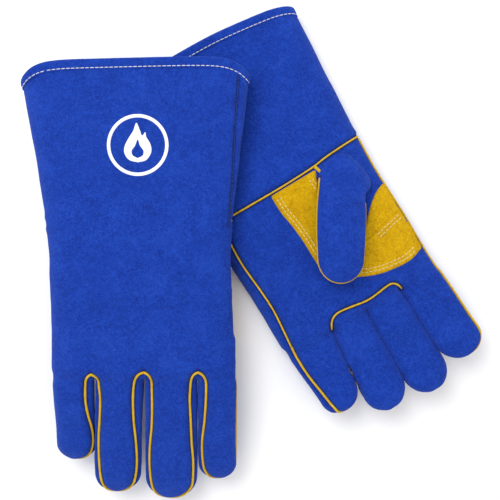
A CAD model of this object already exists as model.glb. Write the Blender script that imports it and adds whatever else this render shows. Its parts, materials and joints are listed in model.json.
"""A pair of suede welding gloves, laid flat one over the other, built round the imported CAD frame.

Every glove is shaped in its own frame in millimetres: fingers towards -Y, index side +X, back of the
hand +Z and palm -Z. glove_matrix() puts that frame in the row frame, from the CAD's own joints.
"""

import json
import math

import bpy
import numpy as np
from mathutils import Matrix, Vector, geometry, kdtree
from mathutils.bvhtree import BVHTree


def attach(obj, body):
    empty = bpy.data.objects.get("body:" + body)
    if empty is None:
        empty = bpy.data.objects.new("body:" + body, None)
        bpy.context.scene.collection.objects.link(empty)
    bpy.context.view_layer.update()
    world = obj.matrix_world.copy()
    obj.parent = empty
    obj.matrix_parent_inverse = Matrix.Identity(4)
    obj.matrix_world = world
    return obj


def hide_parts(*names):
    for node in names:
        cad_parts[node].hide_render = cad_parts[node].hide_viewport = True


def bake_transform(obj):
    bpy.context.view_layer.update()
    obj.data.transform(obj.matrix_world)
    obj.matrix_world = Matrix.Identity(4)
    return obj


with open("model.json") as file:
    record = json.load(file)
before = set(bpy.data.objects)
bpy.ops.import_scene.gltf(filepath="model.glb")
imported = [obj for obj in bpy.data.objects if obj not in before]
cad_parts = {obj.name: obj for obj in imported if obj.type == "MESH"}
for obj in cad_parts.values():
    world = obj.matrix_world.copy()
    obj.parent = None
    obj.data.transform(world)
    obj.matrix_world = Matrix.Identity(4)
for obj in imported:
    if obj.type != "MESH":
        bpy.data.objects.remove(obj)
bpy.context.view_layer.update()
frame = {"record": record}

# ---------------------------------------------------------------- sizes, in millimetres
MM = 0.001
SIDES = ("right", "left")
FINGERS = ("index", "middle", "ring", "little")
ACROSS = FINGERS[::-1]
VOXEL = 1.25
LEATHER = 1.8
WRIST = 120.0
HEM_TOP = 253.5

# Outline of hand and cuff: distance from the knuckle line, little side, index side
OUTLINE = np.array([
    (-20, -74.5, 73.5), (0, -75.3, 73.0), (50, -75.8, 70.8), (93, -76.8, 69.4), (127, -80.0, 71.0),
    (155, -84.4, 75.0), (181, -88.4, 78.0), (225, -96.5, 83.4), (270, -104.5, 88.0)])
HALF_THICK = np.array([
    (-20, 10.4), (0, 11.2), (60, 11.7), (120, 11.5), (180, 11.0), (230, 10.4), (270, 10.2)])
# How much further out the lower glove's index side lies, from the knuckles to the hem
LEFT_INDEX = np.array([(-20, 0.0), (0, 0.6), (40, 3.8), (120, 4.2), (180, 1.0), (270, -3.2)])
SIDE_ROLL = 24.0

# Per finger: x at the knuckle, half width there, half width along, how soon it gets there
FINGER_FORM = {
    "right": {"index": (58.4, 14.8, 14.5, 1.4), "middle": (20.7, 20.1, 20.2, 2),
              "ring": (-21.7, 19.0, 18.2, 2), "little": (-60.8, 16.8, 14.8, 1.2)},
    "left": {"index": (56.4, 17.4, 18.6, 1.6), "middle": (20.7, 15.2, 17.6, 1.5),
             "ring": (-12.3, 14.6, 17.6, 1.4), "little": (-51.8, 22.8, 15.0, 0.8)}}
# Per finger: the tip's x and y on each side
FINGER_TIP = {
    "right": {"index": (59.4, -88.0), "middle": (22.3, -102.4), "ring": (-22.0, -97.6),
              "little": (-56.6, -73.6)},
    "left": {"index": (58.0, -82.6), "middle": (18.4, -93.0), "ring": (-20.0, -88.0),
             "little": (-54.2, -69.5)}}
FINGER_HALF = 10.4
CURL = {"right": 12.0, "left": 17.0}
PUFF = 1.0  # how far the fingers swell sideways
CUT_Y = -1.0  # where the fingers' leather begins

THUMB_TURN = math.radians(-31.5)
THUMB_BASE = np.array([43.9, 104.9])
THUMB_LEN = 94.0
THUMB_HALF = 20.6


# ---------------------------------------------------------------- frames
# Where three joints of a hand lie in the glove's own frame
JOINT_AT = {"index_flex": (58.2, -8.0, -12.0), "little_flex": (-59.4, -8.0, -12.0),
            "thumb_lift": (44.0, 105.0, -14.3)}


def basis(points):
    a, b, c = points
    x = (a - b) / np.linalg.norm(a - b)
    z = np.cross(x, c - b)
    z = z / np.linalg.norm(z)
    return np.stack([x, np.cross(z, x), z], 1)


def glove_matrix(side):
    """4x4 from a glove's own frame, in mm, to the row frame, found from three joints of its hand."""
    joints = {j["name"]: j for j in frame["record"]["behaviour"]["joints"]}
    flip = np.array([1, 1, 1 if side == "right" else -1])
    own = [np.array(JOINT_AT[n]) * flip for n in JOINT_AT]
    there = [np.array(joints[f"{side}_{n}"]["pos_m"]) for n in JOINT_AT]
    m = np.eye(4)
    m[:3, :3] = basis(there) @ basis(own).T @ np.diag(flip) * MM
    m[:3, 3] = there[1] - m[:3, :3] @ np.array(JOINT_AT["little_flex"])
    return m


MATRIX = {side: glove_matrix(side) for side in SIDES}


def placed(side, points):
    m = MATRIX[side]
    return np.asarray(points, float) @ m[:3, :3].T + m[:3, 3]


# ---------------------------------------------------------------- fields
def smooth_min(a, b, k):
    h = np.clip(0.5 + 0.5 * (b - a) / k, 0, 1)
    return b + (a - b) * h - k * h * (1 - h)


def ease(t):
    t = np.clip(t, 0, 1)
    return t * t * (3 - 2 * t)


def rounded(table, column):
    """A smooth curve through a table's column, as samples 1 mm apart."""
    ys = np.arange(-140.0, 300.0, 1.0)
    values = np.interp(ys, table[:, 0], table[:, column])
    kernel = np.hanning(33)
    padded = np.pad(values, 16, mode="edge")
    return ys, np.convolve(padded, kernel / kernel.sum(), mode="valid")


CURVES = {"little": rounded(OUTLINE, 1), "index": rounded(OUTLINE, 2), "half": rounded(HALF_THICK, 1),
          "fuller": rounded(LEFT_INDEX, 1)}
# How much further out than OUTLINE the little side lies
WIDER = {"right": 3.2, "left": 0.0}


def curve(side, name, y):
    value = np.interp(y, *CURVES[name])
    if name == "index" and side == "left":
        value = value + np.interp(y, *CURVES["fuller"])
    return value - WIDER[side] if name == "little" else value


def fuller(side, x, y):
    """x of a point near the index side, moved with that side of its own glove."""
    more = np.interp(y, *CURVES["fuller"]) if side == "left" else 0.0
    return x + more * ease((x - 30) / 38)


def waviness(x, y):
    """How far the flat glove's middle surface lies off its plane."""
    cuff = ease((y - 140) / 110)
    return (0.9 * np.sin(x / 31 + 0.8) * cuff + 0.35 * np.sin(y / 26 + x / 60) * ease((y + 5) / 40))


def slab_field(side, x, y, z):
    lo, hi, half = curve(side, "little", y), curve(side, "index", y), curve(side, "half", y)
    middle, width = (lo + hi) / 2, (hi - lo) / 2
    q = np.maximum(np.abs(x - middle) - (width - SIDE_ROLL), 0) / SIDE_ROLL
    dz = (z - waviness(x, y)) / half
    body = (np.sqrt(q * q + dz * dz) - 1) * half
    return -smooth_min(-body, y + 4.0, 5.0)


# The upper glove's fingers bend down and away from the line of sight through AXIS, so they are longer
AXIS = np.array([85.8, 98.8])
SPREAD = {"right": 0.046, "left": 0.0}


def spread(side, x, y):
    k = SPREAD[side] * np.clip(-y / 100, 0, 1.1) ** 1.6
    return x + (x - AXIS[0]) * k, y + (y - AXIS[1]) * k


def finger_frame(side, name, y):
    """A finger at y: middle x, drop, half width, half thickness, and how far it is into the rounded tip."""
    x0, w0, w1, soon = FINGER_FORM[side][name]
    tip_x, tip_y = spread(side, *FINGER_TIP[side][name])
    cap = w1 * 0.95
    last = tip_y + cap
    t = np.clip((22 - y) / (22 - last), 0, 1)
    bend = np.clip(-y / -tip_y, 0, 1.05)
    w = w0 + (w1 - w0) * ease(t * soon) + 0.4 * np.sin(np.pi * t)
    h = 8.2 + (FINGER_HALF - 8.2) * ease(t * 2.6) - 0.5 * ease((t - 0.6) / 0.4)
    middle = x0 + (tip_x - x0) * np.clip(-y / -tip_y, 0, 1)
    return middle, -CURL[side] * bend ** 1.8, w, h, np.maximum(last - y, 0) / cap


def finger_field(side, name, x, y, z):
    mx, mz, w, h, over = finger_frame(side, name, y)
    p = 2.4
    dx, dz = np.abs(x - mx) / w, np.abs(z - mz) / h
    ring = (dx ** p + dz ** p) ** (2 / p)
    start = np.maximum(y - 22, 0) / 14
    return (np.sqrt(ring + over * over + start * start) - 1) * h


def hand_field(side, x, y, z):
    fingers = None
    for name in FINGERS:
        f = finger_field(side, name, x, y, z)
        fingers = f if fingers is None else smooth_min(fingers, f, 0.8)
    lo, hi = curve(side, "little", y), curve(side, "index", y)
    from_edge = (hi - lo) / 2 - np.abs(x - (lo + hi) / 2)
    return smooth_min(slab_field(side, x, y, z), fingers, 0.8 + 7.2 * ease((from_edge - 5) / 16))


def thumb_coordinates(x, y):
    dx, dy = x - THUMB_BASE[0], y - THUMB_BASE[1]
    c, s = math.cos(THUMB_TURN), math.sin(THUMB_TURN)
    return dx * c + dy * s, dx * s - dy * c


def from_thumb(u, t, z):
    c, s = math.cos(THUMB_TURN), math.sin(THUMB_TURN)
    return np.stack([THUMB_BASE[0] + u * c + t * s, THUMB_BASE[1] + u * s - t * c, z], -1)


def thumb_frame(t):
    """Middle, half width, middle height and half thickness of the thumb t along from its hinge."""
    little_edge = -17.6 - 2.6 * ease(t / 40)
    index_edge = 20.4 + 24 * (1 - ease((t + 4) / 26))
    taper = 1.6 * ease((t - 45) / 45)
    h = 6.5 + 3.6 * ease((t - 5) / 30) - 0.7 * ease((t - 55) / 40)
    mid_z = -16.5 - 7.6 * ease((t - 5) / 34)
    return (index_edge + little_edge) / 2, (index_edge - little_edge) / 2 - taper, mid_z, h


def thumb_field(side, x, y, z):
    u, t = thumb_coordinates(x, y)
    mu, w, mz, h = thumb_frame(t)
    cap = THUMB_HALF * 0.95
    over = np.maximum(t - (THUMB_LEN - cap), 0) / cap
    p = 2.4
    ring = (np.abs(u - mu) ** p / w ** p + np.abs(z - mz) ** p / h ** p) ** (2 / p)
    tube = (np.sqrt(ring + over * over) - 1) * h
    palm = slab_field(side, x, y, z)
    lateral = np.minimum(ease((curve(side, "index", y) - 1 - x) / 24), ease((46 - u) / 30))
    rise = 1.3 + 31 * ease((t + 30) / 88) * (lateral + (1 - lateral) * ease((t - 12) / 26))
    gap = 0.25 + 1.9 * ease((t - 4) / 30)
    under_rise = -smooth_min(-tube, -(palm - rise), 9.0)
    on_palm = -smooth_min(-under_rise, palm - gap, 0.8)
    return np.maximum(np.maximum(on_palm, y - WRIST - 1.5), z + 2.0)


# ---------------------------------------------------------------- surface from a field
def surface(field, low, high):
    """Vertices and quads of a field's zero surface on a grid of VOXEL, moved onto the surface."""
    axes = [np.arange(a, b, VOXEL) for a, b in zip(low, high)]
    x, y, z = np.meshgrid(*axes, indexing="ij")
    f = field(x, y, z).astype(np.float32)
    n = np.array(f.shape)
    total, count = np.zeros((*(n - 1), 3)), np.zeros(tuple(n - 1))
    corners = [(i, j, k) for i in (0, 1) for j in (0, 1) for k in (0, 1)]

    def at(c):
        return f[c[0]:n[0] - 1 + c[0], c[1]:n[1] - 1 + c[1], c[2]:n[2] - 1 + c[2]]

    for a in corners:
        for axis in range(3):
            if a[axis]:
                continue
            b = tuple(v + (i == axis) for i, v in enumerate(a))
            fa, fb = at(a), at(b)
            cross = (fa < 0) != (fb < 0)
            share = fa[cross] / (fa[cross] - fb[cross])
            point = np.tile(np.array(a, float), (len(share), 1))
            point[:, axis] += share
            total[cross] += point
            count[cross] += 1
    used = count > 0
    index = np.full(used.shape, -1)
    index[used] = np.arange(used.sum())
    cell = np.argwhere(used)
    verts = (cell + total[used] / count[used][:, None]) * VOXEL + np.array([a[0] for a in axes])
    quads = []
    for axis in range(3):
        u, v = (axis + 1) % 3, (axis + 2) % 3
        near = [slice(0, None)] * 3
        far = [slice(0, None)] * 3
        near[axis], far[axis] = slice(0, -1), slice(1, None)
        fa, fb = f[tuple(near)], f[tuple(far)]
        edge = np.argwhere((fa < 0) != (fb < 0))
        edge = edge[(edge[:, u] > 0) & (edge[:, v] > 0)
                    & (edge[:, u] < n[u] - 1) & (edge[:, v] < n[v] - 1)]
        inside = (f[tuple(edge.T)] < 0)
        step_u, step_v = np.eye(3, dtype=int)[u], np.eye(3, dtype=int)[v]
        ring = [edge - step_u - step_v, edge - step_v, edge, edge - step_u]
        q = np.stack([index[tuple(r.T)] for r in ring], -1)
        q[~inside] = q[~inside][:, ::-1]
        quads.append(q)
    quads = np.concatenate(quads)
    for _ in range(3):
        normal, value = gradient(field, verts)
        verts = verts - normal * value[:, None]
    return verts, quads


def gradient(field, p, step=0.2):
    """Unit outward direction of a field at points, and the distance to its surface along it."""
    value = field(p[:, 0], p[:, 1], p[:, 2])
    g = np.empty_like(p)
    for axis in range(3):
        q = p.copy()
        q[:, axis] += step
        g[:, axis] = (field(q[:, 0], q[:, 1], q[:, 2]) - value) / step
    size = np.linalg.norm(g, axis=1)
    size[size < 1e-6] = 1e-6
    return g / size[:, None], np.clip(value / size, -2, 2)


def vertex_normals(verts, faces):
    a, b, c = (verts[faces[:, i]] for i in range(3))
    n = np.cross(b - a, c - a)
    if faces.shape[1] == 4:
        d = verts[faces[:, 3]]
        n = np.cross(c - a, d - b)
    out = np.zeros_like(verts)
    for i in range(faces.shape[1]):
        np.add.at(out, faces[:, i], n)
    size = np.linalg.norm(out, axis=1)
    size[size < 1e-9] = 1e-9
    return out / size[:, None]


# ---------------------------------------------------------------- small tools
def hem_y(side, x):
    """The cuff's edge: nearly straight on the upper glove, cut back towards the index side on the lower."""
    if side == "right":
        return HEM_TOP + 0.02 * x - 15 * np.abs((x + 7.6) / 94.5) ** 8
    back = 0.15 * (np.hypot(x - 10, 20) + x - 10) / 2
    return HEM_TOP + 7.5 - back - np.where(x > 0, 5.0, 15.0) * np.abs((x + 7.6) / 94.5) ** 8


def spline(points, step=1.0):
    """A smooth path through points, as samples step apart."""
    p = np.asarray(points, float)
    ends = np.vstack([2 * p[0] - p[1], p, 2 * p[-1] - p[-2]])
    out = []
    for i in range(1, len(ends) - 2):
        a, b, c, d = ends[i - 1:i + 3]
        t = np.linspace(0, 1, 24, endpoint=False)[:, None]
        out.append(0.5 * (2 * b + (c - a) * t + (2 * a - 5 * b + 4 * c - d) * t ** 2
                          + (3 * b - a - 3 * c + d) * t ** 3))
    return resample(np.vstack(out + [p[-1:]]), step)


def resample(path, step, closed=False):
    if closed:
        path = np.vstack([path, path[:1]])
    along = np.concatenate([[0], np.cumsum(np.linalg.norm(np.diff(path, axis=0), axis=1))])
    count = max(3, int(round(along[-1] / step)) + 1)
    at = np.linspace(0, along[-1], count)
    out = np.stack([np.interp(at, along, path[:, i]) for i in range(path.shape[1])], 1)
    return out[:-1] if closed else out


def softened(values, rounds=2):
    values = np.array(values, float)
    for _ in range(rounds):
        values[1:-1] = (values[:-2] + 2 * values[1:-1] + values[2:]) / 4
    return values


def unit(v):
    return v / np.maximum(np.linalg.norm(v, axis=-1, keepdims=True), 1e-9)


def on_skin(tree, points):
    """Points moved onto a mesh, softened along their path, and the directions out of it."""
    found = [tree.find_nearest(Vector(p)) for p in points]
    at = softened([f[0] for f in found])
    out = unit(softened([f[1] for f in found], 4))
    return at, out


def settled(tree, line):
    """A line laid on a mesh and twice smoothed there, and the directions out of it."""
    at, out = on_skin(tree, line)
    for _ in range(2):
        at, out = on_skin(tree, softened(at, 2))
    return at, out


def grid_faces(rows, cols, wrap_rows=False, wrap_cols=False):
    r = np.arange(rows if wrap_rows else rows - 1)
    c = np.arange(cols if wrap_cols else cols - 1)
    i, j = (a.ravel() for a in np.meshgrid(r, c, indexing="ij"))
    i2, j2 = (i + 1) % rows, (j + 1) % cols
    return np.stack([i * cols + j, i * cols + j2, i2 * cols + j2, i2 * cols + j], 1)


def rope(line, out, wide, high, sides=6, sink=0.0):
    """A closed cord of oval section along a line; out is the direction away from what it lies on."""
    along = unit(np.gradient(line, axis=0))
    across = unit(np.cross(along, out))
    up = np.cross(across, along)
    a = np.linspace(0, 2 * math.pi, sides, endpoint=False)[None, :, None]
    ring = (line[:, None] + across[:, None] * np.cos(a) * wide[:, None, None]
            + up[:, None] * (np.sin(a) * high[:, None, None] - sink))
    faces = [tuple(f) for f in grid_faces(len(line), sides, False, True)[:, ::-1]]
    last = (len(line) - 1) * sides
    faces += [tuple(range(sides)), tuple(last + k for k in reversed(range(sides)))]
    return ring.reshape(-1, 3), faces


def welt(seam_line, half_width, half_height, sink):
    """The welt of a seam: a slightly uneven cord, narrower at its ends."""
    path, out = seam_line
    n = np.arange(len(path))
    ends = np.minimum(np.minimum(n, len(path) - 1 - n) * 0.25 + 0.75, 1)
    uneven = 1 + 0.08 * (np.sin(n * 0.9) * 0.5 + np.sin(n * 0.37 + 1) * 0.5)
    return rope(path, out, half_width * uneven * ends, np.full(len(path), half_height), 10, sink)


def joined(parts):
    verts, faces, base = [], [], 0
    for v, f in parts:
        verts.append(v)
        faces += [tuple(int(k) + base for k in face) for face in f]
        base += len(v)
    return np.vstack(verts), faces


def cut_out(verts, faces, keep):
    """The chosen faces and only the vertices that they use."""
    faces = faces[keep]
    used = np.unique(faces)
    place = np.full(len(verts), -1)
    place[used] = np.arange(len(used))
    return used, place[faces]


def piece(name, side, mesh, material):
    """A Blender object from a mesh in the glove's own frame."""
    verts, faces, *more = mesh
    data = bpy.data.meshes.new(name)
    rows = [tuple(int(k) for k in f) for f in faces]
    if side == "left":
        rows = [r[::-1] for r in rows]
    data.from_pydata([tuple(v) for v in placed(side, verts)], [], rows)
    data.update()
    data.polygons.foreach_set("use_smooth", [True] * len(data.polygons))
    if more:
        normals, dark = more
        turned = unit(np.asarray(normals) @ (MATRIX[side][:3, :3] / MM).T)
        data.normals_split_custom_set_from_vertices([tuple(n) for n in turned])
        data.attributes.new("seam_shade", "FLOAT", "POINT").data.foreach_set("value", dark)
    obj = bpy.data.objects.new(name, data)
    bpy.context.scene.collection.objects.link(obj)
    data.materials.append(material)
    return obj


# ---------------------------------------------------------------- materials
class Look:
    """A material being made from nodes."""

    def __init__(self, name):
        self.material = bpy.data.materials.new(name)
        self.material.use_nodes = True
        self.tree = self.material.node_tree
        self.shader = self.tree.nodes["Principled BSDF"]
        self.coords = None

    def fill(self, node, inputs):
        for socket, value in inputs.items():
            if isinstance(value, bpy.types.NodeSocket):
                self.tree.links.new(value, node.inputs[socket])
            else:
                node.inputs[socket].default_value = value

    def node(self, kind, output, inputs, **settings):
        """A new node with its settings and inputs: one of its outputs."""
        node = self.tree.nodes.new("ShaderNode" + kind)
        for key, value in settings.items():
            setattr(node, key, value)
        self.fill(node, inputs)
        return node.outputs[output]

    def texture(self, kind, inputs, **settings):
        if self.coords is None:
            self.coords = self.node("TexCoord", "Object", {})
        return self.node("Tex" + kind, "Fac", {"Vector": self.coords, **inputs}, **settings)

    def noise(self, scale, detail, roughness=0.55, distortion=0.0):
        return self.texture("Noise", {"Scale": scale, "Detail": detail, "Roughness": roughness,
                                      "Distortion": distortion})

    def ramp(self, source, stops):
        colour = self.node("ValToRGB", "Color", {"Fac": source})
        elements = colour.node.color_ramp.elements
        while len(elements) < len(stops):
            elements.new(0.5)
        for element, (at, rgb) in zip(elements, stops):
            element.position = at
            element.color = (*rgb, 1)
        return colour

    def mix(self, factor, a, b):
        return self.node("Mix", "Result", {"Factor": factor, "A": a, "B": b}, data_type="RGBA")

    def finish(self, colour, roughness, height, strength, distance, **shader):
        """The colour, roughness and bump of the surface, and its other uniform values."""
        normal = self.node("Bump", "Normal", {"Height": height, "Strength": strength, "Distance": distance})
        self.fill(self.shader, {"Base Color": colour, "Roughness": roughness, "Normal": normal})
        self.fill(self.shader, {key.replace("_", " "): value for key, value in shader.items()})
        return self.material


def suede(name, dark, mid, light, sheen_tint, grain=1.0, sheen=0.25):
    """Split cowhide: a mottled nap, a fine fibre grain, a soft sheen and darker seams."""
    look = Look(name)
    patches = look.noise(55, 5, 0.62, 0.8)
    nap = look.noise(340, 4, 0.7)
    fibre = look.noise(1250, 4, 0.8)
    broad = look.ramp(patches, [(0.3, dark), (0.5, mid), (0.72, light)])
    small = look.ramp(nap, [(0.34, dark), (0.5, mid), (0.67, light)])
    specks = look.ramp(fibre, [(0.4, dark), (0.5, mid), (0.61, light)])
    colour = look.mix(0.5, look.mix(0.55, broad, small), specks)
    shade = look.node("Attribute", "Fac", {}, attribute_name="seam_shade")
    amount = look.node("Math", 0, {0: shade, 1: 0.8}, operation="MULTIPLY")
    colour = look.mix(amount, colour, (*(0.22 * c for c in dark), 1))
    height = look.node("Math", 0, {0: fibre, 1: 0.8, 2: nap}, operation="MULTIPLY_ADD")
    return look.finish(colour, 0.92, height, 0.8, 0.0011 * grain, Specular_IOR_Level=0.15, Sheen_Weight=sheen,
                       Sheen_Roughness=0.45, Sheen_Tint=(*sheen_tint, 1))


def thread(name, colour, dark):
    """Twisted thread: fine slanted strands."""
    look = Look(name)
    strands = look.texture("Wave", {"Scale": 520, "Distortion": 1.5}, bands_direction="DIAGONAL")
    shade = look.ramp(strands, [(0.1, dark), (0.6, colour)])
    return look.finish(shade, 0.6, strands, 0.5, 0.0002, Sheen_Weight=0.2)


def cotton_cloth():
    """Brushed cotton: crossed yarns under a light nap."""
    look = Look("lining_cotton")
    yarns = [look.texture("Wave", {"Scale": 330, "Distortion": 1.2, "Detail": 1}, bands_direction=direction)
             for direction in ("X", "Y")]
    both = look.node("Math", 0, {0: yarns[0], 1: yarns[1]}, operation="MAXIMUM")
    shade = look.ramp(both, [(0.35, (0.52, 0.46, 0.36)), (0.85, (0.8, 0.75, 0.64))])
    tone = look.ramp(look.noise(45, 4), [(0.35, (0.62, 0.57, 0.47)), (0.7, (0.84, 0.8, 0.7))])
    return look.finish(look.mix(0.5, shade, tone), 0.95, both, 0.6, 0.0004, Sheen_Weight=0.3)


def printed_ink():
    """White ink on suede: thin, and worn through where the nap stands up."""
    look = Look("ink_white")
    wear = look.noise(900, 4, 0.7)
    shade = look.ramp(wear, [(0.27, (0.35, 0.42, 0.75)), (0.36, (0.86, 0.88, 0.93)),
                             (0.6, (0.95, 0.95, 0.96))])
    return look.finish(shade, 0.7, wear, 0.35, 0.0003)


BLUE = suede("leather_blue", (0.0023, 0.0145, 0.182), (0.0053, 0.040, 0.355), (0.020, 0.089, 0.58),
             (0.25, 0.40, 1.0))
GOLD = suede("leather_gold", (0.37, 0.165, 0.0005), (0.70, 0.40, 0.001), (0.88, 0.58, 0.010),
             (1.0, 0.8, 0.2), grain=1.3, sheen=0.03)
WELT = suede("welt_gold", (0.46, 0.24, 0.003), (0.70, 0.43, 0.015), (0.82, 0.58, 0.06),
             (1.0, 0.9, 0.6), grain=0.8, sheen=0.1)
WHITE_THREAD = thread("thread_white", (0.88, 0.87, 0.84), (0.5, 0.5, 0.5))
CREAM_THREAD = thread("thread_cream", (0.92, 0.8, 0.42), (0.6, 0.42, 0.1))
BLUE_THREAD = thread("thread_blue", (0.012, 0.03, 0.2), (0.004, 0.01, 0.08))
COTTON = cotton_cloth()
INK = printed_ink()


# ---------------------------------------------------------------- the welted seams
# Each path is (x, y, up): up is 1 on the back, -1 on the palm and 0 at the edge between them
LOOP_LEFT = {  # the little-finger side of each loop between two fingers, from its top to the tip
    "little": [(-43.4, -2.5, 1), (-46.8, -4.4, 1), (-48.9, -10, 1), (-48.8, -24.4, 1), (-46.6, -37, 1),
               (-43.9, -48, 1), (-43.0, -57, 1), (-44.6, -64.5, 0.8), (-49.0, -70.0, 0.3)],
    "ring": [(-0.2, -0.6, 1), (-5.6, -2.9, 1), (-8.9, -9.5, 1), (-9.8, -22, 1), (-8.9, -40.7, 1),
             (-6.8, -58.5, 1), (-5.9, -73.2, 1), (-7.4, -83.7, 0.8), (-12.4, -91.6, 0.3)],
    "middle": [(44.0, -0.6, 1), (39.6, -2.8, 1), (37.4, -9, 1), (36.6, -22, 1), (37.4, -38, 1),
               (38.4, -57, 1), (39.8, -72.4, 1), (39.0, -84, 0.8), (35.4, -93.2, 0.3)]}
LOOP_RIGHT = {  # the index side, from the loop's top to the tip
    "ring": [(-44.6, -2.5, 1), (-41.2, -4.4, 1), (-38.8, -10.5, 1), (-37, -22, 1), (-37, -38, 1),
             (-37.6, -54.5, 1), (-36.6, -72.4, 1), (-34.2, -85.0, 0.8), (-29.6, -93.0, 0.3)],
    "middle": [(-1.4, -0.6, 1), (3.0, -3.0, 1), (5.1, -10, 1), (5.7, -27.6, 1), (5.6, -44.7, 1),
               (4.2, -62.6, 1), (4.4, -77.2, 1), (7.0, -90, 0.8), (12.0, -98.0, 0.3)],
    "index": [(42.8, -0.6, 1), (47.4, -3.0, 1), (49.7, -9, 1), (49.7, -24.4, 1), (48.4, -42.3, 1),
              (46.6, -57, 1), (46.9, -70, 1), (50.4, -80.6, 0.7), (56.0, -86.2, 0.3)]}
LITTLE_SIDE = [(-64.8, 118, -1), (-67.0, 99.5, -1), (-67.6, 79, -1), (-65.6, 53, -1), (-64.8, 32.7, -1),
               (-66.4, 13, -1), (-67.8, -2, -1)]
LITTLE_OUTER = [(-67.8, -2, -1), (-68.6, -12, -1), (-68.0, -30, -1), (-65.0, -50, -1), (-62.6, -62, -0.9),
                (-60.6, -70, -0.5)]
INDEX_SIDE = [(69.2, 121, -0.7), (68.4, 104, -0.7), (68.6, 75, -0.7), (70.0, 41, -0.7), (72.0, 11, -0.7),
              (73.2, -2, -0.6)]
INDEX_OUTER = [(73.0, -2, -0.7), (74.5, -31, -0.6), (74.5, -60, -0.6), (72.0, -76, -0.4), (66.4, -84.4, -0.2)]
WRIST_SEAM = [(-77.2, 121.5, -0.2), (-70, 120.4, -1), (-51, 119.6, -1), (-17, 119, -1), (3, 119, -1),
              (26, 119.7, -1), (40, 121.4, -1), (56, 122.4, -1), (66, 122.8, -1), (70.6, 123.2, -0.2)]
BASE_SEAM = [(-30.4, -7.5, -1), (-28.8, -3.0, -1), (-25.6, 0.8, -1), (-19, 3.2, -1), (-6, 1.6, -1),
             (6, -0.7, -1), (15.4, -0.4, -1), (27, 1.0, -1), (33.4, 0.9, -1), (37.2, -3.2, -1),
             (38.6, -8, -1)]
CUFF_SEAM = [(77.4, 244.4, 1), (76.4, 236, 1), (73.2, 185, 1), (69.6, 127.6, 1), (68.0, 118, 1)]


def boundary(side, a, b, y):
    """x halfway between two neighbouring fingers at y."""
    ma, _, wa, _, _ = finger_frame(side, a, y)
    mb, _, wb, _, _ = finger_frame(side, b, y)
    return ((ma + wa) + (mb - wb)) / 2


def loops(side):
    """The welt round each finger's back, moved to suit the lower glove's fingers, which lie closer."""
    left = {k: [list(p) for p in v] for k, v in LOOP_LEFT.items()}
    right = {k: [list(p) for p in v] for k, v in LOOP_RIGHT.items()}
    if side == "left":
        for a, b in zip(ACROSS, ACROSS[1:]):
            for points, name, inward in ((left[a], a, -2.0), (right[b], b, 2.0)):
                for p in points:
                    p[0] += boundary("left", a, b, p[1]) - boundary("right", a, b, p[1])
                    if p[2] < 0.95:
                        p[2] = 0.7
                        p[0] += inward
                    p[1] *= FINGER_TIP["left"][name][1] / FINGER_TIP["right"][name][1]

    def moved(points):
        return [[*spread(side, x, y), up] for x, y, up in points]

    def tip(name, short):
        x, y = spread(side, *FINGER_TIP[side][name])
        return [[x, y + short, 0]]
    paths = {name: moved(right[name]) + tip(name, 0.4) + moved(left[name])[::-1]
             for name in ("ring", "middle")}
    paths["little"] = moved(LITTLE_OUTER) + tip("little", 0.6) + moved(left["little"])[::-1]
    paths["index"] = moved(right["index"]) + moved(INDEX_OUTER)[::-1]
    return {name: paths[name] for name in ACROSS}


def start_points(side, path, tree):
    """Points of a seam path on the glove's surface, straight above or below where the path is drawn."""
    out = []
    for x, y, up in path:
        hit = None
        if abs(up) > 0.95:
            hit = tree.ray_cast(Vector((x, y, 60 * up)), Vector((0, 0, -up)))[0]
        if hit is None:
            name = min(FINGERS, key=lambda n: abs(finger_frame(side, n, min(y, 0.0))[0] - x))
            mx, mz, w, h, over = finger_frame(side, name, y) if y < 0 else (0, 0, 75, 11, 0)
            room = max(1 - min(over, 1) ** 2, 0) ** 1.2 - min(abs(x - mx) / w, 1) ** 2.4
            hit = (x, y, mz + up * h * max(room, 0.0) ** (1 / 2.4))
            hit = tree.find_nearest(Vector(hit))[0]
        out.append(tuple(hit))
    return out


def seam(side, path, tree, step=0.9):
    """A seam as close-set points on the surface, with the directions out of it."""
    path = [(fuller(side, x, y), y, up) for x, y, up in path]
    return settled(tree, spline(start_points(side, path, tree), step))


def near_distance(points, targets):
    """Distance from each point to the nearest target, up to 12 mm, else 12."""
    tree = kdtree.KDTree(len(targets))
    for i, t in enumerate(targets):
        tree.insert(t, i)
    tree.balance()
    return np.array([min(tree.find(p)[2], 12.0) for p in points])


def bell(distance, width):
    return np.exp(-(distance / width) ** 2)


def undulation(p, seed, scale):
    """A smooth, uneven field over space, from -1 to 1, made of a few waves in set directions."""
    rng = np.random.default_rng(seed)
    total = np.zeros(len(p))
    for _ in range(7):
        d = rng.normal(size=3)
        d = d / np.linalg.norm(d) * 2 * math.pi / (scale * rng.uniform(0.7, 1.6))
        total += np.sin(p @ d + rng.uniform(0, 6.28) + 0.6 * np.sin(p @ d[::-1] * 0.7))
    return total / 4.5


def flat_undulation(p, seed, scale):
    return undulation(np.c_[p, np.zeros(len(p))], seed, scale)


def shell(verts, faces, normals, shade, keep):
    """A panel of real thickness from the chosen faces, its rim closed."""
    used, f = cut_out(verts, faces, keep)
    top, n = verts[used], normals[used]
    count = len(used)
    sides = np.concatenate([f[:, [i, (i + 1) % 4]] for i in range(4)])
    back = {(b, a) for a, b in sides}
    rim = np.array([(a, b) for a, b in map(tuple, sides) if (a, b) not in back])
    under = np.stack([rim[:, 1], rim[:, 0], rim[:, 0] + count, rim[:, 1] + count], 1)
    return (np.vstack([top, top - n * LEATHER * 0.8]), np.vstack([f, f[:, ::-1] + count, under]),
            np.vstack([n, -n]), np.tile(shade[used], 2))


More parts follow.
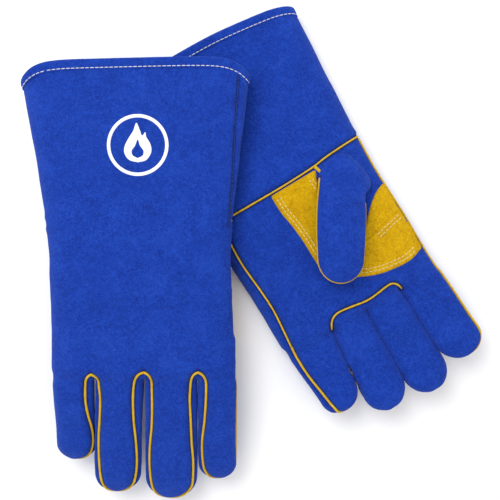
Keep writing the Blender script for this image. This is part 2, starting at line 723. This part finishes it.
# ---------------------------------------------------------------- stitches, patches, emblem
def stitch(a, b, out_a, out_b, radius, bow=0.35):
    """One stitch: a short thick thread that dips into the leather at both ends."""
    t = np.array([0.0, 0.14, 0.38, 0.62, 0.86, 1.0])[:, None]
    line = a + (b - a) * t
    out = unit(out_a + (out_b - out_a) * t)
    line = line + out * (bow * np.sin(np.pi * t) - 0.15)
    size = np.array([0.55, 0.9, 1, 1, 0.9, 0.55]) * radius
    return rope(line, out, size, size)


def stitch_row(at, out, length, gap, radius, lift, bow=0.35):
    """Stitches of even length along a seam, each lifted off the surface by lift."""
    along = np.concatenate([[0], np.cumsum(np.linalg.norm(np.diff(at, axis=0), axis=1))])
    parts = []
    for s in np.arange(gap, along[-1] - length, length + gap):
        ends = [np.array([np.interp(q, along, c[:, i]) for i in range(3)])
                for c in (at, out) for q in (s, s + length)]
        a, b, oa, ob = ends
        parts.append(stitch(a + oa * lift, b + ob * lift, oa, ob, radius, bow))
    return joined(parts)


def edge_distance(p, outline):
    """Distance in the plane from points to a closed outline."""
    a, b = outline, np.roll(outline, -1, 0)
    d = b - a
    t = ((p[:, None] - a[None]) * d[None]).sum(-1) / np.maximum((d * d).sum(-1), 1e-9)
    q = a[None] + d[None] * np.clip(t, 0, 1)[..., None]
    return np.sqrt(((p[:, None] - q) ** 2).sum(-1)).min(1)


def inside(p, outline):
    x, y = p[:, 0], p[:, 1]
    hit = np.zeros(len(p), bool)
    for a, b in zip(outline, np.roll(outline, -1, 0)):
        spans = (a[1] > y) != (b[1] > y)
        if spans.any():
            hit ^= spans & (x < (b[0] - a[0]) * (y - a[1]) / (b[1] - a[1] + 1e-12) + a[0])
    return hit


def flat_mesh(outlines, step):
    """An even triangle mesh in the plane inside outlines by the even-odd rule: points and triangles."""
    loops_in = [resample(np.array(o, float), step, True) for o in outlines]
    everything = np.vstack(loops_in)
    low, high = everything.min(0), everything.max(0)
    gx, gy = np.meshgrid(np.arange(low[0], high[0], step), np.arange(low[1], high[1], step * 0.87))
    gx[1::2] += step / 2
    grid = np.stack([gx.ravel(), gy.ravel()], 1)
    grid = grid[np.logical_xor.reduce([inside(grid, o) for o in loops_in])]
    for o in loops_in:
        grid = grid[edge_distance(grid, o) > step * 0.6]
    points = np.vstack([everything, grid])
    edges, base = [], 0
    for o in loops_in:
        edges += [(base + i, base + (i + 1) % len(o)) for i in range(len(o))]
        base += len(o)
    result = geometry.delaunay_2d_cdt([Vector(p) for p in points], edges, [], 0, 1e-6)
    flat = np.array([tuple(v) for v in result[0]])
    tris = np.array([tuple(f) for f in result[2]])
    middle = flat[tris].mean(1)
    return flat, tris[np.logical_xor.reduce([inside(middle, o) for o in loops_in])], loops_in


def laid_on(tree, flat, up):
    """Points straight above (up = 1) or below (-1) the plane's points on a mesh, and the directions out."""
    at, out = [], []
    for x, y in flat:
        hit, normal, _, _ = tree.ray_cast(Vector((x, y, 60 * up)), Vector((0, 0, -up)))
        if hit is None:
            hit, normal, _, _ = tree.find_nearest(Vector((x, y, 8 * up)))
        at.append(tuple(hit))
        out.append(tuple(normal))
    return np.array(at), np.array(out)


def applique(tree, outlines, up, thick, step, rim=1.0, dents=None):
    """A flat cut piece lying on the glove, its edge rounded down to the surface. It is closed all round."""
    flat, tris, edges = flat_mesh(outlines, step)
    at, out = laid_on(tree, flat, up)
    out = unit(out + np.array([0, 0, 0.6 * up]))
    far = np.min([edge_distance(flat, o) for o in edges], 0)
    share = np.clip(far / rim, 0, 1)
    height = thick * np.sqrt(1 - (1 - share) ** 2)
    if dents is not None:
        height = height - dents(flat) * share
    top, under = at + out * height[:, None], at - out * 0.25
    a, b, c = (flat[tris[:, i]] for i in range(3))
    turn = (b[:, 0] - a[:, 0]) * (c[:, 1] - a[:, 1]) - (b[:, 1] - a[:, 1]) * (c[:, 0] - a[:, 0])
    tris[turn * up < 0] = tris[turn * up < 0][:, ::-1]
    count = len(flat)
    sides = np.concatenate([tris[:, [i, (i + 1) % 3]] for i in range(3)])
    back = {(q, p) for p, q in map(tuple, sides)}
    rim_edges = [(p, q) for p, q in map(tuple, sides) if (p, q) not in back]
    faces = ([tuple(t) for t in tris] + [tuple(t[::-1] + count) for t in tris]
             + [(q, p, p + count, q + count) for p, q in rim_edges])
    return np.vstack([top, under]), faces


# ---------------------------------------------------------------- building
# Each kind of piece: the CAD's slot and the material
MATERIAL = {"leather": ("leather_blue", BLUE), "suede": ("leather_gold", GOLD), "cord": ("welt_gold", WELT),
            "stitches": ("thread_white", WHITE_THREAD), "fine_stitches": ("thread_white", CREAM_THREAD),
            "seam": ("thread_blue", BLUE_THREAD), "cotton": ("lining_cotton", COTTON),
            "ink": ("ink_white", INK)}


def place_piece(side, node, kind, mesh, motion="hand", name=None):
    """One finished piece: its material, the CAD node that it stands for and the bodies that it follows.
    A mesh is points and faces, and on leather also normals and how dark the seams are. A piece with a name of
    its own is extra and stands for no node."""
    slot_name, material = MATERIAL[kind]
    obj = piece(name or f"{side}_{node}_{kind}", side, mesh, material)
    if name is None:
        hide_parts(f"{side}_{node}")
    hand = f"{side}_hand"
    if motion == "hand":
        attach(obj, hand)
    elif motion == "thumb":
        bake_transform(obj)
    else:
        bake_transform(obj)
    return obj


def section_point(side, k, y, off):
    """A point of the hand and cuff's section at y, k from 0 to 4 round it, off outside the surface."""
    lo, hi, half = curve(side, "little", y), curve(side, "index", y), curve(side, "half", y)
    middle, run = (lo + hi) / 2, (hi - lo) / 2 - SIDE_ROLL
    part, t = np.floor(k).astype(int) % 4, k - np.floor(k)
    phi = np.choose(part, [0 * t, np.pi * t, np.pi + 0 * t, np.pi * (t + 1)])
    flat_x = np.choose(part, [run * (2 * t - 1), run + 0 * t, run * (1 - 2 * t), -run + 0 * t])
    nx, nz = np.sin(phi) / SIDE_ROLL, np.cos(phi) / half
    size = np.hypot(nx, nz)
    x = middle + flat_x + SIDE_ROLL * np.sin(phi)
    z = half * np.cos(phi) + waviness(x, y)
    return np.stack([x + off * nx / size, y + 0 * x, z + off * nz / size], -1)


# Places round a section, closer together on its two edges
RING = np.concatenate([np.linspace(0, 1, 90, False), np.linspace(1, 2, 26, False),
                       np.linspace(2, 3, 90, False), np.linspace(3, 4, 26, False)])


def section_to_hem(side, y, off, base=None):
    """A section that follows the hem: y beyond it or, with base, the share y of the way from base to it."""
    x = section_point(side, RING, 200.0 if base is None else 150.0, 0.0)[:, 0]
    for _ in range(3):
        at_y = hem_y(side, x) + y if base is None else base + (hem_y(side, x) - base) * y
        p = section_point(side, RING, at_y, off)
        x = p[:, 0]
    return p


def sleeve(side, profile, base=None, wrinkle=0.0):
    """A closed strip swept round the glove. Its profile holds y and off, as section_to_hem() takes them."""
    rows = []
    for y, off in profile:
        p = section_to_hem(side, y, off, base)
        n = p - section_point(side, RING, p[:, 1], off - 1.0)
        rows.append(p + n * (wrinkle * undulation(p, 5, 9.0))[:, None])
    return np.vstack(rows), grid_faces(len(profile), len(RING), True, True)


def drawn_in(verts, normals, seams):
    """The skin drawn in along the seams and swelling beside them, and how dark the seams make it."""
    d = near_distance(verts, np.vstack([at for name, (at, _) in seams.items() if name != "cuff"]))
    dc = near_distance(verts, seams["cuff"][0])
    pull = 1.5 * bell(d, 2.0) + 1.0 * bell(dc, 1.6)
    swell = 0.5 * bell(d - 5.0, 3.0) + 0.3 * bell(dc - 4.5, 2.5)
    pucker = 0.16 * undulation(verts, 11, 7.0) * bell(np.minimum(d, dc), 6.0)
    slow = 0.34 * undulation(verts, 3, 46.0) + 0.13 * undulation(verts, 8, 17.0)
    verts = verts + normals * (swell - pull + pucker + slow * (1 - bell(d, 5.0)))[:, None]
    return verts, np.maximum(bell(d, 2.2), 0.7 * bell(dc, 1.5))


def build_panels(side, verts, quads, out, shade):
    cx, cy = verts[quads].mean(1)[:, :2].T
    up = out[quads].mean(1)[:, 2]
    palm_from = np.interp(cy, [-8, 118], [-67.5, -65.5])
    palm_to = fuller(side, np.interp(cy, [-8, 118], [73.5, 69.0]), cy)
    on_palm = (up <= 0) & (cx > palm_from) & (cx < palm_to)
    at_cuff = cy > np.interp(cx, [-77, -51, 0, 40, 71], [121.5, 119.6, 119, 121.4, 123.2])
    in_hand = ~at_cuff & (cy >= CUT_Y)
    panels = {"cuff_panel": at_cuff, "back_panel": in_hand & ~on_palm, "palm_panel": in_hand & on_palm}
    kept = cy < hem_y(side, cx) - 1.0
    for node, keep in panels.items():
        obj = place_piece(side, node, "leather", shell(verts, quads, out, shade, keep & kept))


def x_on(line, y):
    order = np.argsort(line[:, 1])
    return np.interp(y, line[order, 1], line[order, 0])


def build_fingers(side, verts, quads, out, shade, paths):
    """Each finger's back inside its welt, and its front with the side walls."""
    cx, cy = verts[quads].mean(1)[:, :2].T
    up = out[quads].mean(1)[:, 2]
    which = sum((cx > boundary(side, a, b, cy)).astype(int) for a, b in zip(ACROSS, ACROSS[1:]))
    for i, name in enumerate(ACROSS):
        mine = (cy < CUT_Y) & (which == i)
        path = np.array([p[:2] for p in paths[name]])
        back = mine & (up > 0.05)
        if name == "little":
            back |= mine & (cx < -68.0)
        else:
            back &= cx > x_on(path[:8], cy)
        if name == "index":
            back |= mine & (cx > 74.5)
        else:
            back &= cx < x_on(path[-8:], cy)
        for part, keep in (("back", back), ("front", mine & ~back)):
            mesh = shell(verts, quads, out, shade, keep)
            obj = place_piece(side, f"{name}_{part}", "leather", mesh, name)


# Across the hem's fold, from its outer stitched edge over the rim to the inner one: y from the hem, and off
HEM_FOLD = [(-8.0, -0.2), (-8.15, 0.1), (-7.7, 0.5), (-6.3, 0.55), (-4.2, 0.95), (-2.0, 1.1), (0.1, 1.0),
            (1.1, 0.3), (1.35, -1.2), (1.1, -2.8), (0.1, -3.8), (-2.0, -4.0), (-5.0, -3.9), (-7.6, -3.8),
            (-8.1, -3.3), (-7.6, -2.9), (-4.0, -2.8), (-0.6, -2.7), (-0.1, -1.3), (-0.6, 0.0), (-4.0, 0.05)]
HEM_STITCH_Y = -6.3


def build_hem(side):
    """The folded strip over the cuff's edge, and its stitches outside and in."""
    binding = place_piece(side, "hem_binding", "leather", sleeve(side, HEM_FOLD, wrinkle=0.16))
    rows = []
    for off, outward in ((0.62, 1), (-3.95, -1)):
        line = resample(section_to_hem(side, HEM_STITCH_Y, off), 0.8, True)
        line = np.vstack([line, line[:1]])
        n = unit((line - line.mean(0)) * np.array([0.02, 0, 1])) * outward
        rows.append(stitch_row(line, n, 3.2, 0.7, 0.34, 0.0, 0.25))
    place_piece(side, "hem_stitching", "stitches", joined(rows))


def build_linings(side):
    profile = [(0.0, -1.75), (0.35, -1.75), (0.7, -1.75), (0.985, -1.75), (0.99, -2.15), (0.985, -2.55),
               (0.7, -2.7), (0.35, -2.8), (0.0, -2.7)]
    obj = place_piece(side, "cuff_lining", "cotton", sleeve(side, profile, base=WRIST + 1.0, wrinkle=0.25))
    profile = [(2, -1.8), (30, -1.8), (60, -1.8), (90, -1.8), (WRIST - 1, -1.8), (WRIST - 1, -2.7),
               (90, -2.8), (60, -2.8), (30, -2.8), (2, -2.7)]
    verts = np.vstack([section_point(side, RING, y, off) for y, off in profile])
    faces = grid_faces(len(profile), len(RING), True, True)
    place_piece(side, "hand_lining", "cotton", (verts, faces))


def build_glove(side):
    def field(x, y, z):
        return hand_field(side, x, y, z)
    verts, quads = surface(field, (-116, -120, -36), (98, 260, 15))
    normals = gradient(field, verts)[0]
    verts[:, 0] += PUFF * normals[:, 0] * ease((-verts[:, 1] - 6) / 8)

    # The seams are found on the plain surface, which they then shape
    tree = BVHTree.FromPolygons(verts.tolist(), quads.tolist())
    paths = loops(side)
    all_paths = {**paths, "little_side": LITTLE_SIDE, "index_side": INDEX_SIDE, "wrist": WRIST_SEAM,
                 "base": BASE_SEAM, "cuff": CUFF_SEAM}
    seams = {name: seam(side, path, tree) for name, path in all_paths.items()}
    verts, shade = drawn_in(verts, normals, seams)
    out = vertex_normals(verts, quads)
    tree = BVHTree.FromPolygons(verts.tolist(), quads.tolist())

    build_panels(side, verts, quads, out, shade)
    build_fingers(side, verts, quads, out, shade, paths)
    for name in FINGERS:
        place_piece(side, f"{name}_welt", "cord", welt(seams[name], 1.0, 1.0, 0.35), name)
    for node, key in (("little_side_welt", "little_side"), ("index_side_welt", "index_side"),
                      ("wrist_welt", "wrist"), ("finger_base_welt", "base")):
        place_piece(side, node, "cord", welt(seams[key], 0.8, 0.85, 0.3))
    place_piece(side, "cuff_panel", "seam", stitch_row(*seams["cuff"], 2.4, 1.1, 0.34, -0.35),
                name=f"{side}_cuff_seam_stitches")
    build_hem(side)
    build_linings(side)
    build_thumb(side)
    build_patches(side, tree)
    build_tab(side, tree)
    if side == "right":
        build_emblem(tree)


def thumb_edge(sign, start):
    """A side of the thumb's outline, from its root to near the tip."""
    t = np.concatenate([np.linspace(start, 76, 20), np.linspace(80, 93.4, 6)])
    mu, w, mz, _ = thumb_frame(t)
    cap = THUMB_HALF * 0.95
    over = np.maximum(t - (THUMB_LEN - cap), 0) / cap
    return from_thumb(mu + sign * w * np.sqrt(np.maximum(1 - over ** 2, 0)), t, mz)


def build_thumb(side):
    def field(x, y, z):
        return thumb_field(side, x, y, z)
    verts, quads = surface(field, (-22, 2, -42), (84, 124, 2))
    normals = gradient(field, verts)[0]
    tree = BVHTree.FromPolygons(verts.tolist(), quads.tolist())
    path = spline(np.vstack([thumb_edge(-1, 6), thumb_edge(1, 27)[::-1]]), 0.9)
    at, out_dir = settled(tree, path)

    d = near_distance(verts, at)
    along = thumb_coordinates(verts[:, 0], verts[:, 1])[1]
    slow = 0.34 * undulation(verts, 21, 30.0) + 0.14 * undulation(verts, 22, 12.0)
    lift = 0.4 * bell(d - 4.5, 2.8) - bell(d, 1.8) + slow * ease((along - 8) / 20) * (1 - bell(d, 5))
    verts = verts + normals * lift[:, None]
    out = vertex_normals(verts, quads)
    centre = verts[quads].mean(1)
    middle = thumb_frame(thumb_coordinates(centre[:, 0], centre[:, 1])[1])[2]
    outer = centre[:, 2] < middle
    for part, keep in (("back", outer), ("front", ~outer)):
        mesh = shell(verts, quads, out, bell(d, 2.2), keep)
        obj = place_piece(side, f"thumb_{part}", "leather", mesh, "thumb")
    place_piece(side, "thumb_welt", "cord", welt((at, out_dir), 0.8, 0.85, 0.3), "thumb")


# The gold patches' edges on the palm
PATCH_EDGE = [(-17, 117), (-16.6, 100), (-14.3, 85.5), (-13.1, 69), (-12.8, 55), (-12, 40), (-8, 30),
              (-1, 25), (6.5, 22.6), (23.4, 14.8), (38, 11.0), (55, 9.6), (68.5, 12.6)]
PATCH_SIDE = [(70.4, 14.5), (70.4, 29), (69.4, 41), (68.6, 51.5)]
CROSS_SEAM = [(68.6, 51.5), (54, 49.2), (36.8, 44.6), (29, 46)]
PATCH_UNDER = [(22, 62), (17, 80), (22, 102), (27, 117)]
# The crease gathered in the crotch patch, before its edge
CREASE = [(57, 62), (50, 57.5), (41, 50)]
CROTCH_EDGE = [(30, 43.4), (36.8, 43.3), (54, 47.9), (68.4, 50.3), (69.4, 62), (69.6, 77.5),
               (65.5, 77), (61, 75.4), (56.5, 72.8), (52.5, 69.6), (48.5, 65.6), (44, 60.5), (38, 54)]
THUMB_SIDE_STITCHES = [(18, 113), (18.8, 100)], [(21, 113), (21.8, 103)]
PATCH_THICK = 1.25


def build_patches(side, tree):
    def own(points):
        return [(fuller(side, x, y), y) for x, y in points]
    big = np.vstack([spline(own(p), 1.0) for p in (PATCH_EDGE, PATCH_SIDE, CROSS_SEAM, PATCH_UNDER)])
    mesh = applique(tree, [big], -1, PATCH_THICK, 1.5,
                    dents=lambda p: 0.22 * flat_undulation(p, 31, 22.0))
    obj = place_piece(side, "palm_patch", "suede", mesh)
    small = resample(np.array(own(CROTCH_EDGE), float), 1.0, True)

    def crease(p):
        d = np.sqrt(((p[:, None] - spline(CREASE, 1.0)[None]) ** 2).sum(-1)).min(1)
        return 0.6 * bell(d, 1.6) + 0.12 * flat_undulation(p, 33, 16.0)
    mesh = applique(tree, [small], -1, PATCH_THICK * 0.75, 1.3, dents=crease)
    obj = place_piece(side, "crotch_patch", "suede", mesh)

    def inset(path, gap, skip=4):
        p = spline(own(path), 1.0)[skip:-skip]
        d = unit(np.gradient(p, axis=0))
        return p + np.stack([-d[:, 1], d[:, 0]], 1) * gap
    rows = []
    for gap in (3.4, 6.4):
        rows.append(inset(PATCH_EDGE, gap))
        rows.append(inset(CROSS_SEAM[:3], gap))
    rows += [spline(line, 1.0) for line in THUMB_SIDE_STITCHES]
    parts = []
    for row in rows:
        at, out = laid_on(tree, row, -1)
        out = unit(softened(out, 3))
        parts.append(stitch_row(at, out, 2.7, 1.0, 0.36, PATCH_THICK))
    place_piece(side, "patch_stitching", "fine_stitches", joined(parts))


def build_tab(side, tree):
    """The little folded end of the thumb's welt, at the wrist seam."""
    mesh = applique(tree, [[(26.6, 119.2), (29.6, 119.6), (31.2, 112.4), (28.6, 111.8)]], -1, 1.9, 0.7)
    place_piece(side, "thumb_welt", "cord", mesh, name=f"{side}_thumb_welt_end")


def build_emblem(tree):
    centre = np.array([-5.0, 184.0])
    a = np.linspace(0, 2 * math.pi, 120, endpoint=False)
    ring = np.stack([np.cos(a), np.sin(a)], 1)
    flame = spline([(0, -14), (7, -12), (11, -5.5), (10.2, 1), (7, 6.5), (6.2, 10.5), (3.6, 7.5), (2, 11.5),
                    (-1, 18), (-3.6, 11.5), (-7.4, 5.5), (-10.6, -1), (-10.8, -6.5), (-7, -12), (0, -14)],
                   0.6)[:-1]
    drop = spline([(0, -10.5), (4, -8.4), (4.6, -4.5), (1.8, -0.4), (0, 4.6), (-2, -0.4), (-4.8, -4.5),
                   (-4, -8.4), (0, -10.5)], 0.6)[:-1]
    outlines = [ring * 25 + centre, ring * 22.2 + centre, flame + centre, drop + centre]
    mesh = applique(tree, outlines, 1, 0.16, 0.9, rim=0.5)
    place_piece("right", "emblem", "ink", mesh)


for glove_side in SIDES:
    build_glove(glove_side)


# ---------------------------------------------------------------- floor, light and camera
def stage_floor():
    mesh = bpy.data.meshes.new("floor")
    s = 3.0
    mesh.from_pydata([(-s, -s, 0), (s, -s, 0), (s, s, 0), (-s, s, 0)], [], [(0, 1, 2, 3)])
    floor = bpy.data.objects.new("floor", mesh)
    bpy.context.scene.collection.objects.link(floor)
    floor.location.z = -0.0005
    look = Look("floor_white")
    look.fill(look.shader, {"Base Color": (0.97, 0.97, 0.973, 1), "Roughness": 0.9,
                            "Specular IOR Level": 0.1})
    mesh.materials.append(look.material)


def area_light(name, location, target, size, power):
    data = bpy.data.lights.new(name, "AREA")
    data.shape = "DISK"
    data.size = size
    data.energy = power
    light = bpy.data.objects.new(name, data)
    bpy.context.scene.collection.objects.link(light)
    light.location = location
    light.rotation_euler = (Vector(target) - Vector(location)).to_track_quat("-Z", "Y").to_euler()


bpy.context.scene.view_settings.view_transform = "Standard"
stage_floor()
world = bpy.data.worlds.new("studio")
bpy.context.scene.world = world
world.use_nodes = True
world.node_tree.nodes["Background"].inputs["Color"].default_value = (1, 1, 1, 1)
world.node_tree.nodes["Background"].inputs["Strength"].default_value = 0.92
area_light("key", (-0.45, 0.55, 1.1), (0, 0, 0), 0.8, 8.0)

camera_data = bpy.data.cameras.new("camera")
camera_data.lens = 50.7
camera_data.sensor_width = 36.0
camera = bpy.data.objects.new("camera", camera_data)
bpy.context.scene.collection.objects.link(camera)
upper = placed("right", [(0, 0, 0)])[0]
camera.location = (upper[0] + AXIS[0] * MM, upper[1] + AXIS[1] * MM, 0.62)
bpy.context.scene.camera = camera
